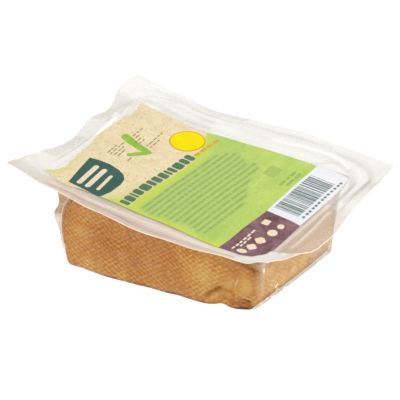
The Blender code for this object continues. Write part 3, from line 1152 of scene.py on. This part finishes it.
# %% Cutting a convex shape from a grid
def convex_shape(bm, outline, step):
    """Add a grid over the outline and cut away what lies outside it. The outline runs anticlockwise."""
    xs, ys = [p[0] for p in outline], [p[1] for p in outline]
    middle = ((min(xs) + max(xs)) / 2, (min(ys) + max(ys)) / 2)
    size = (max(xs) - min(xs) + 0.2, max(ys) - min(ys) + 0.2)
    spread = Matrix.Translation((*middle, 0)) @ Matrix.Diagonal((size[0], size[1], 1, 1))
    old = set(bm.faces)
    columns, rows = (max(1, round(side / step)) for side in size)
    bmesh.ops.create_grid(bm, x_segments=columns, y_segments=rows, size=0.5, matrix=spread)
    for (ax, ay), (bx, by) in zip(outline, outline[1:] + outline[:1]):
        faces = [face for face in bm.faces if face not in old]
        # a dict keeps each edge and point once, and in the same order every time, as a set would not
        geom = faces + list(dict.fromkeys(part for face in faces for part in (*face.edges, *face.verts)))
        bmesh.ops.bisect_plane(bm, geom=geom, plane_co=(ax, ay, 0), plane_no=(by - ay, ax - bx, 0), clear_outer=True)


def placed(points, centre, turn):
    """Turn an outline drawn round nothing and move it to its centre."""
    c, s = math.cos(turn), math.sin(turn)
    return [(centre[0] + x * c - y * s, centre[1] + x * s + y * c) for x, y in points]


def oval(centre, radii, count=40):
    """The outline of an oval."""
    angles = [math.tau * i / count for i in range(count)]
    return placed([(radii[0] * math.cos(a), radii[1] * math.sin(a)) for a in angles], centre, 0.0)


def round_bar(centre, length, width, turn=0.0, corner=0.35):
    """The outline of a bar with clipped corners. Its length runs along y before it is turned."""
    half_x, half_y, c = width / 2, length / 2, min(corner, width / 2.2, length / 2.2)
    side, end = half_x - c, half_y - c
    points = [
        (-side, -half_y), (side, -half_y), (half_x, -end), (half_x, end),
        (side, half_y), (-side, half_y), (-half_x, end), (-half_x, -end),
    ]
    return placed(points, centre, turn)


def print_shapes(name, material, outlines, lift, step=1.6):
    """One piece of print from the outlines of its shapes."""
    bm = bmesh.new()
    for outline in outlines:
        convex_shape(bm, outline, step)
    lay_on_sheet(bm, lift)
    return make_piece(name, bm, material)


# %% The badge, the disc and the tick
BADGE = [
    (-48.4, -35.0), (-40, -36.0), (-32.0, -37.2), (-29.8, -36.4), (-28.3, -30.5), (-27.7, -24.0), (-28.6, -19.4),
    (-31.0, -16.6), (-35, -14.4), (-40.5, -13.0), (-46, -12.9), (-51.4, -13.6), (-50.6, -19), (-49.4, -27),
]
BADGE_BARS = [
    round_bar((-44.2, -25.2), 16.5, 2.6, 0.03, 0.9), round_bar((-39.6, -25.6), 16.5, 2.6, 0.03, 0.9),
    round_bar((-34.4, -26.6), 13.0, 1.7, 0.06, 0.6),
]
DISC_CENTRE, DISC_RADIUS, DISC_RIM = (-21.6, 21.8), 7.6, 0.7
CAPTION_TURN = -0.14
caption = [
    round_bar((-11.4 + CAPTION_TURN * (22.0 - y), y), 3.4, 1.9, CAPTION_TURN, 0.4) for y in (15.4, 19.8, 24.2, 28.6)
]
badge = print_shapes("badge", BADGE_GREEN, [BADGE], BAR_INK)
badge_bars = print_shapes("badge_bars", PALE, BADGE_BARS, TOP_INK)
rim = oval(DISC_CENTRE, (DISC_RADIUS + DISC_RIM, DISC_RADIUS + DISC_RIM))
disc_rim = print_shapes("disc_rim", OCHRE, [rim] + caption, BAR_INK, 1.2)
disc = print_shapes("disc", YELLOW, [oval(DISC_CENTRE, (DISC_RADIUS, DISC_RADIUS))], TOP_INK, 1.2)


def pen_stroke(name, material, path, widths, lift):
    """One piece of print from a single long stroke."""
    bm = bmesh.new()
    stroke(bm, path, widths)
    lay_on_sheet(bm, lift)
    return make_piece(name, bm, material)


tick_down = pen_stroke(
    "tick_down", LEAF_GREEN, ((-48.6, 10.2), (-42.2, 7.4), (-35.3, 5.4), (-29.6, 4.6)),
    ((0, 1.6), (0.06, 4.0), (0.3, 4.2), (0.8, 3.2), (1, 0.5)), BAR_INK,
)
tick_back = pen_stroke(
    "tick_back", LEAF_GREEN, ((-30.2, 4.6), (-33.9, 1.8), (-38.4, -2.4)),
    ((0, 1.0), (0.3, 2.6), (0.9, 2.4), (1, 1.6)), TEXT_INK,
)

# %% [markdown]
# ## Lines and bars
# Where a label carries reading matter, this one carries plain bars: rows of short dashes for small print, a row of
# dark blocks for the heading, and stripes of mixed widths in the white box. Dashes are drawn from a seeded random
# order, so they fall in the same places each time.

# %% Rows of dashes
rng = random.Random(20)
COARSE = 3.0  # narrow bars need few points across


def dashes(x_of, start, end, width, longest, gap, turn=0.0):
    """Bars end to end along a line of print, each the length of a word."""
    bars, y = [], start
    while y < end - 1.2:
        length = min(rng.uniform(1.6, longest), end - y)
        bars.append(round_bar((x_of(y + length / 2), y + length / 2), length, width, turn, 0.25))
        y += length + gap * rng.uniform(0.7, 1.5)
    return bars


# each row's x at the front, and the y of its two ends
TEXT_ROWS = (
    (-10.0, -33.6, 19.8), (-7.2, -34.6, 23.5), (-4.3, -35.4, 25.5), (-1.4, -34.6, 24.4), (1.5, -33.4, 23.3),
    (4.4, -34.0, 22.4), (7.4, -34.0, 23.6), (10.4, -32.4, 21.5), (13.4, -32.6, 12.5), (16.4, -33.4, 5.4),
    (19.4, -34.8, 1.2), (22.4, -34.6, -5.0),
)
SIDE_ROWS = ((31.2, 15.0, 29.5), (33.8, 16.5, 29.0))
FINE_ROWS = (
    (-46.6, -5.8, 2.2), (-45.0, -6.0, 5.2), (-43.2, -5.8, 2.6), (-41.4, -5.2, 0.6), (-44.4, 11.4, 20.6),
    (-42.6, 11.0, 16.0), (-40.6, 7.6, 13.6), (-38.8, 8.4, 12.6), (-34.8, 8.0, 21.6), (-32.8, 8.0, 16.0),
    (-35.6, -6.2, -2.0),
)
TEXT_SLANT, TEXT_FRONT, SIDE_SLANT, SIDE_FRONT = 0.1, -34, 0.05, 15


def slanted(x, slant, front, wave=0.0):
    """A line of print that starts at x and drifts along y: it takes a y and gives the x there."""
    return lambda y: x + slant * (y - front) + wave * math.sin(y / 9)


words, grounds = [], []
for x, start, end in TEXT_ROWS:
    words += dashes(slanted(x, TEXT_SLANT, TEXT_FRONT, 0.2), start, end, 1.1, 8.5, 0.4, -TEXT_SLANT)
    middle = (start + end) / 2
    centre = (slanted(x, TEXT_SLANT, TEXT_FRONT)(middle), middle)
    grounds.append(round_bar(centre, end - start + 3, 2.7, -TEXT_SLANT, 1.0))
small_print = print_shapes("small_print", TEXT_GREEN, words, TEXT_INK, COARSE)
text_ground = print_shapes("text_ground", TEXT_GROUND, grounds, LOW_INK, COARSE)
words = []
for x, start, end in SIDE_ROWS:
    words += dashes(slanted(x, SIDE_SLANT, SIDE_FRONT), start, end, 1.3, 6, 0.9)
side_note = print_shapes("side_note", TEXT_GREEN, words, BAR_INK, COARSE)
words = []
for x, start, end in FINE_ROWS:
    words += dashes(slanted(x, 0, 0), start, end, 0.6, 3.4, 0.6)
fine_print = print_shapes("fine_print", TEXT_BROWN, words, BAR_INK, COARSE)

# %% The heading, the plum panel's blocks and the pale square
HEADING_LINE = ((-35, -18.6), (-25, -18.2), (-15, -17.0), (-5, -15.5), (2, -14.4), (8, -13.9), (13, -13.4))
HEADING_BLOCKS = (2.6, 3.6, 1.2, 3.4, 4.6, 2.4, 3.4, 3.4, 1.6, 2.4, 4.4, 3.0, 3.2)
HEADING_TURN, HEADING_GAP = -0.04, 0.75
halo, blocks = [], []
y = -35.5
for length in HEADING_BLOCKS:
    centre = (profile(HEADING_LINE, y + length / 2), y + length / 2)
    halo.append(round_bar(centre, length + 0.5, 5.8, HEADING_TURN, 0.8))
    blocks.append(round_bar(centre, length, 5.2, HEADING_TURN, 0.7))
    y += length + HEADING_GAP
heading_halo = print_shapes("heading_halo", PALE, halo, LOW_INK)
heading = print_shapes("heading", TITLE_GREEN, blocks, TOP_INK)
PANEL_BLOCKS = [
    round_bar((43.0, -37.0), 3.6, 4.6, 0.1, 1.2), round_bar((44.6, -31.6), 4.6, 4.6, 0.1, 1.8),
    round_bar((45.4, -25.6), 4.6, 5.0, 0.1, 1.8), oval((46.9, -18.0), (2.2, 2.4)),
    round_bar((47.6, -12.0), 3.4, 3.0, 0.3, 0.8), round_bar((40.6, -12.6), 3.8, 3.4, 0.0, 0.4),
]
panel_lines = dashes(slanted(38.6, 0.05, -38), -38, -20, 1.0, 3.2, 0.6)
panel_lines += dashes(slanted(40.2, 0.04, -38), -34, -24, 0.9, 3.0, 0.6)
panel_blocks = print_shapes("panel_blocks", PALE, PANEL_BLOCKS + panel_lines, BAR_INK)
pale_square = print_shapes("pale_square", FAINT_GREEN, [round_bar((23.0, 22.4), 8.0, 6.2, 0.0, 0.6)], BAR_INK)

# %% The stripes in the white box
STRIPES_FROM, STRIPES_TO, STRIPE_LENGTH, STRIPE_DROP = -0.8, 29.2, 12.6, 0.4
STRIPE_WIDTHS, STRIPE_GAPS = (0.28, 0.28, 0.5, 0.5, 0.75, 1.0), (0.3, 0.45, 0.6, 0.9)
stripes, y = [], STRIPES_FROM
while y < STRIPES_TO:
    thick = rng.choice(STRIPE_WIDTHS)
    start, end_y = slanted(37.6, 0.035, 0)(y), y - STRIPE_DROP
    end = start + STRIPE_LENGTH
    stripes.append([(start, y), (end, end_y), (end, end_y + thick), (start, y + thick)])
    y += thick + rng.choice(STRIPE_GAPS)
code_stripes = print_shapes("code_stripes", BAR_DARK, stripes, BAR_INK, 2.5)
ticks = dashes(slanted(52.2, 0.03, 0), -1.0, 33.0, 1.2, 1.6, 0.9)
code_ticks = print_shapes("code_ticks", BAR_DARK, ticks, BAR_INK, COARSE)
print(len(stripes), "stripes,", len(ticks), "ticks")

# %% [markdown]
# ## Joining the pieces to the model
# The pack has no moving parts, so every piece rides on its one body. The two imported solids are hidden.

# %% Riding, and hiding the imported solids
SLOTS = {
    "smoked_tofu": (tofu_block,),
    "clear_film": (pocket_wrap, pocket_crease_highlights, end_glints, flange_film),
    "print_cream": (cream_field, heading_halo, badge_bars, panel_blocks, fine_print),
    "print_green": (green_field, label_edge_shade, text_ground, small_print, side_note, pale_square, tick_down, tick_back),
    "print_plum": (plum_field,),
    "print_white": (barcode_box,),
    "print_dark_green": (badge, heading, code_stripes, code_ticks),
    "print_yellow": (disc, disc_rim),
}
for slot_name, pieces in SLOTS.items():
    for piece in pieces:
        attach(piece, "root")
for piece in (tofu_block, pocket_wrap, pocket_crease_highlights, end_glints):
    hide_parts("tofu_pocket")
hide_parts("lid_film")
print("pieces:", sum(len(pieces) for pieces in SLOTS.values()))

# %% [markdown]
# ## Studio
# The pack stands on a plain white table under a large soft light, with a bright surround, so that the film shines
# without hard glints and the shadow under it is faint.

# %% The table
TABLE_HALF = 4000

bm = bmesh.new()
bmesh.ops.create_grid(bm, x_segments=8, y_segments=8, size=TABLE_HALF)
material, tree, place = new_material("white_table")
table_grain = mix_colour(clouds(place, 400, detail=1), (0.16, 0.16, 0.16, 1), (0.2, 0.2, 0.2, 1))
matt = {"Base Color": table_grain, "Roughness": 0.9, "Specular IOR Level": 0.0}
matt |= {"Emission Color": (1, 1, 1, 1), "Emission Strength": 0.98}
node(tree, "OutputMaterial", {"Surface": node(tree, "BsdfPrincipled", matt).outputs[0]})
table = make_piece("table", bm, material)


# %% Lights
def soft_light(name, place, size, power):
    """A square light that faces the pack."""
    light = bpy.data.lights.new(name, "AREA")
    light.shape, light.size, light.size_y = "RECTANGLE", size, size
    light.energy = power
    lamp = bpy.data.objects.new(name, light)
    lamp.location = Vector(place)
    lamp.rotation_euler = (LIGHT_AIM - Vector(place)).to_track_quat("-Z", "Y").to_euler()
    bpy.context.scene.collection.objects.link(lamp)
    print(name, "light:", power, "watts")


LIGHT_AIM = Vector((0, 0, 0.02))
soft_light("key", (0.55, 0.25, 0.75), 0.6, 5.0)
soft_light("fill", (-0.5, -0.7, 0.5), 0.6, 1.5)

world = bpy.data.worlds.new("studio")
bpy.context.scene.world = world
world.use_nodes = True
surround = world.node_tree.nodes["Background"].inputs
surround["Color"].default_value = (1.0, 0.995, 0.985, 1)
surround["Strength"].default_value = 0.55

# %% Camera
CAMERA_TURN, CAMERA_RISE, CAMERA_FAR = math.radians(32), math.radians(25), 1.168
CAMERA_AIM = Vector((-0.0048, 0.0058, 0.0235))
backwards = Vector((
    math.sin(CAMERA_TURN) * math.cos(CAMERA_RISE),
    -math.cos(CAMERA_TURN) * math.cos(CAMERA_RISE),
    math.sin(CAMERA_RISE),
))
lens = bpy.data.cameras.new("camera")
lens.lens, lens.sensor_width = 234, 36
camera = bpy.data.objects.new("camera", lens)
camera.location = CAMERA_AIM + backwards * CAMERA_FAR
camera.rotation_euler = (-backwards).to_track_quat("-Z", "Y").to_euler()
bpy.context.scene.collection.objects.link(camera)
bpy.context.scene.camera = camera
bpy.context.scene.view_settings.view_transform = "Standard"
print("camera at", [round(c, 3) for c in camera.location])

# %% Update the scene
bpy.context.view_layer.update()
